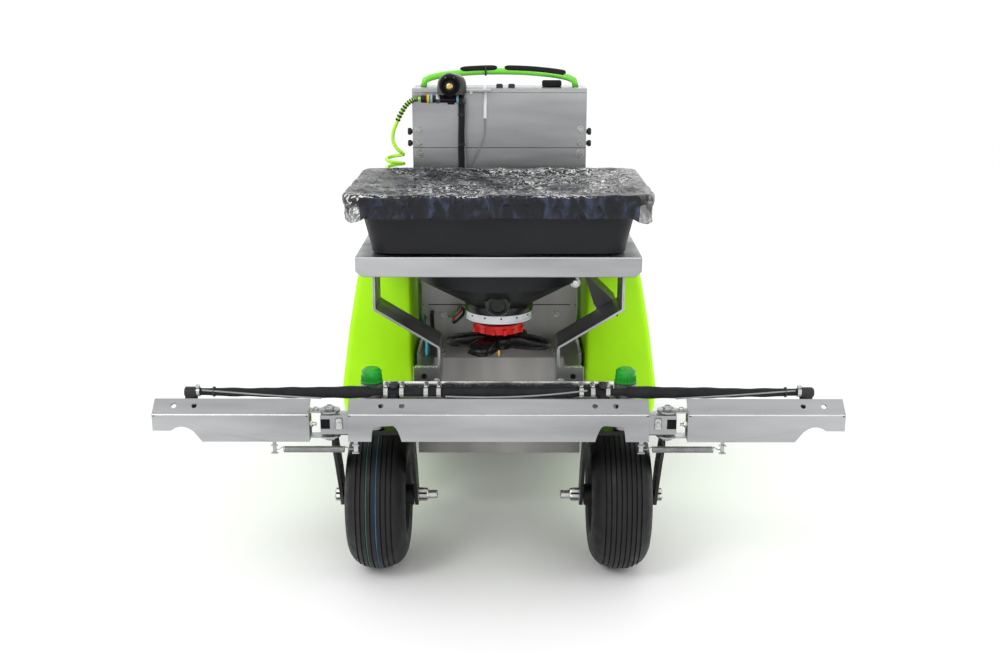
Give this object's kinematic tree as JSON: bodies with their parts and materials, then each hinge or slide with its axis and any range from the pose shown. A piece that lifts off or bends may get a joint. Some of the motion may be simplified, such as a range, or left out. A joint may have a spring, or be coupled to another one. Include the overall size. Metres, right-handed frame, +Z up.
{
  "type": "stand-on spreader sprayer",
  "caption": "Stand-on turf machine with a granular spreader hopper, side tanks, folding front spray boom, caster wheels and control tower.",
  "frame": {"origin": "on the ground, under the centre of the box around the whole machine", "axes": "+Z up; +Y from the spray boom at the front to the operator platform at the rear; +X to the left-hand side of the machine, as its operator stands"},
  "size_m": [1.552, 1.6146, 1.1813],
  "materials": {
    "stainless": "satin",
    "lime_plastic": "satin",
    "lime_paint": "gloss",
    "black_steel": "satin",
    "tyre_rubber": "matte",
    "charcoal_plastic": "matte",
    "white_plastic": "satin",
    "red_plastic": "satin",
    "black_plastic": "satin",
    "hose_rubber": "matte",
    "clear_vinyl": "gloss",
    "spring_steel": "satin",
    "lime_hose": "gloss",
    "brass": "satin",
    "cast_aluminium": "cast"
  },
  "bodies": {
    "chassis": {"frame": "stainless", "hopper_tray": "stainless", "hopper_bracket_left": "stainless", "hopper_bracket_right": "stainless", "boom_centre": "stainless", "control_box": "stainless", "tank_left": "lime_plastic", "tank_right": "lime_plastic", "handlebar": "lime_paint", "dash_panel": "black_steel", "operator_bar": "black_steel", "hopper": "charcoal_plastic", "spinner_gearbox": "red_plastic", "spray_gun": "black_plastic", "hose_fitting": "black_plastic", "spray_pump": "black_plastic", "fuel_tank": "black_plastic", "boom_hose_centre": "hose_rubber", "supply_hose": "hose_rubber", "boom_spring_left": "spring_steel", "boom_spring_right": "spring_steel", "muffler": "spring_steel", "recoil_hose": "lime_hose", "recoil_coil": "lime_hose", "pressure_gauge": "brass", "engine": "cast_aluminium"},
    "caster_left": {"caster_fork_left": "black_steel", "pivot_cap_left": "lime_plastic"},
    "caster_right": {"caster_fork_right": "black_steel", "pivot_cap_right": "lime_plastic"},
    "front_wheel_left": {"front_tire_left": "tyre_rubber", "front_rim_left": "black_steel"},
    "front_wheel_right": {"front_tire_right": "tyre_rubber", "front_rim_right": "black_steel"},
    "rear_wheel_left": {"rear_tire_left": "tyre_rubber", "rear_rim_left": "black_steel"},
    "rear_wheel_right": {"rear_tire_right": "tyre_rubber", "rear_rim_right": "black_steel"},
    "wing_left": {"boom_wing_left": "stainless", "boom_hose_left": "hose_rubber", "outer_nozzle_left": "black_plastic"},
    "wing_right": {"boom_wing_right": "stainless", "boom_hose_right": "hose_rubber", "outer_nozzle_right": "black_plastic"},
    "spinner": {"impeller": "black_plastic"},
    "gate": {"gate_plate": "stainless"},
    "pattern_dial": {"metering_ring": "white_plastic"},
    "deflector": {"deflector_flap": "black_plastic"},
    "lid_left": {"tank_lid_left": "black_plastic"},
    "lid_right": {"tank_lid_right": "black_plastic"},
    "cover": {"rain_cover": "clear_vinyl"},
    "drive_control_left": {"drive_lever_left": "black_plastic"},
    "drive_control_right": {"drive_lever_right": "black_plastic"},
    "gate_control": {"gate_lever": "black_plastic"},
    "throttle": {"throttle_lever": "black_plastic"},
    "key": {"ignition_key": "spring_steel"},
    "pump_button": {"pump_switch": "black_plastic"},
    "regulator": {"regulator_knob": "red_plastic"},
    "trigger": {"gun_trigger": "red_plastic"},
    "operator_platform": {"platform": "black_steel"}
  },
  "joints": [
    {"name": "caster_swivel_left", "type": "hinge", "parent": "chassis", "child": "caster_left", "pos_m": [0.293, -0.69275, 0.45], "axis": [0, 0, 1], "continuous": true},
    {"name": "front_wheel_spin_left", "type": "hinge", "parent": "caster_left", "child": "front_wheel_left", "pos_m": [0.293, -0.58275, 0.18], "axis": [1, 0, 0], "continuous": true},
    {"name": "rear_wheel_spin_left", "type": "hinge", "parent": "chassis", "child": "rear_wheel_left", "pos_m": [0.349, 0.45725, 0.2285], "axis": [1, 0, 0], "continuous": true},
    {"name": "wing_fold_left", "type": "hinge", "parent": "chassis", "child": "wing_left", "pos_m": [0.381, -0.77575, 0.43], "axis": [0, 0, 1], "range_deg": [-75, 75], "stiffness_Nm_per_rad": 12, "deforming": ["boom_spring_left", "boom_hose_left"]},
    {"name": "lid_lift_left", "type": "slide", "parent": "chassis", "child": "lid_left", "axis": [0, 0, 1], "range_m": [0, 0.08]},
    {"name": "drive_lever_swing_left", "type": "hinge", "parent": "chassis", "child": "drive_control_left", "pos_m": [0.12, -0.00275, 1.01], "axis": [1, 0, 0], "range_deg": [-20, 20], "stiffness_Nm_per_rad": 6},
    {"name": "caster_swivel_right", "type": "hinge", "parent": "chassis", "child": "caster_right", "pos_m": [-0.293, -0.69275, 0.45], "axis": [0, 0, 1], "continuous": true},
    {"name": "front_wheel_spin_right", "type": "hinge", "parent": "caster_right", "child": "front_wheel_right", "pos_m": [-0.293, -0.58275, 0.18], "axis": [1, 0, 0], "continuous": true},
    {"name": "rear_wheel_spin_right", "type": "hinge", "parent": "chassis", "child": "rear_wheel_right", "pos_m": [-0.349, 0.45725, 0.2285], "axis": [1, 0, 0], "continuous": true},
    {"name": "wing_fold_right", "type": "hinge", "parent": "chassis", "child": "wing_right", "pos_m": [-0.381, -0.77575, 0.43], "axis": [0, 0, 1], "range_deg": [-75, 75], "stiffness_Nm_per_rad": 12, "deforming": ["boom_spring_right", "boom_hose_right"]},
    {"name": "lid_lift_right", "type": "slide", "parent": "chassis", "child": "lid_right", "axis": [0, 0, 1], "range_m": [0, 0.08]},
    {"name": "drive_lever_swing_right", "type": "hinge", "parent": "chassis", "child": "drive_control_right", "pos_m": [-0.12, -0.00275, 1.01], "axis": [1, 0, 0], "range_deg": [-20, 20], "stiffness_Nm_per_rad": 6},
    {"name": "spinner_spin", "type": "hinge", "parent": "chassis", "child": "spinner", "pos_m": [0, -0.45775, 0.54], "axis": [0, 0, 1], "continuous": true},
    {"name": "gate_lever_swing", "type": "hinge", "parent": "chassis", "child": "gate_control", "pos_m": [0.044, 0.00325, 0.98], "axis": [1, 0, 0], "range_deg": [0, 40]},
    {"name": "gate_turn", "type": "hinge", "parent": "chassis", "child": "gate", "pos_m": [0, -0.45775, 0.635], "axis": [0, 0, 1], "range_deg": [0, 60]},
    {"name": "pattern_dial_turn", "type": "hinge", "parent": "chassis", "child": "pattern_dial", "pos_m": [0, -0.45775, 0.62], "axis": [0, 0, 1], "range_deg": [-30, 30]},
    {"name": "deflector_tilt", "type": "hinge", "parent": "chassis", "child": "deflector", "pos_m": [0.208, -0.48575, 0.72], "axis": [0, 1, 0], "range_deg": [0, 45]},
    {"name": "cover_lift", "type": "slide", "parent": "chassis", "child": "cover", "axis": [0, 0, 1], "range_m": [0, 0.14]},
    {"name": "throttle_swing", "type": "hinge", "parent": "chassis", "child": "throttle", "pos_m": [-0.04, 0.03225, 1.06], "axis": [0, 1, 0], "range_deg": [-25, 25]},
    {"name": "key_turn", "type": "hinge", "parent": "chassis", "child": "key", "pos_m": [-0.04, 0.03225, 1.01], "axis": [0, 1, 0], "range_deg": [0, 90]},
    {"name": "pump_button_press", "type": "slide", "parent": "chassis", "child": "pump_button", "axis": [0, -1, 0], "range_m": [0, 0.003], "stiffness_N_per_m": 300},
    {"name": "regulator_turn", "type": "hinge", "parent": "chassis", "child": "regulator", "pos_m": [0.01, 0.04025, 0.99], "axis": [0, 1, 0], "continuous": true},
    {"name": "trigger_pull", "type": "hinge", "parent": "chassis", "child": "trigger", "pos_m": [-0.127, -0.14675, 1.119], "axis": [1, 0, 0], "range_deg": [0, 8], "stiffness_Nm_per_rad": 1},
    {"name": "platform_fold", "type": "hinge", "parent": "chassis", "child": "operator_platform", "pos_m": [0, 0.49925, 0.214], "axis": [1, 0, 0], "range_deg": [0, 85]}
  ],
  "couplings": [
    {"joint": "gate_turn", "follows": "gate_lever_swing", "ratio": 1.5}
  ]
}
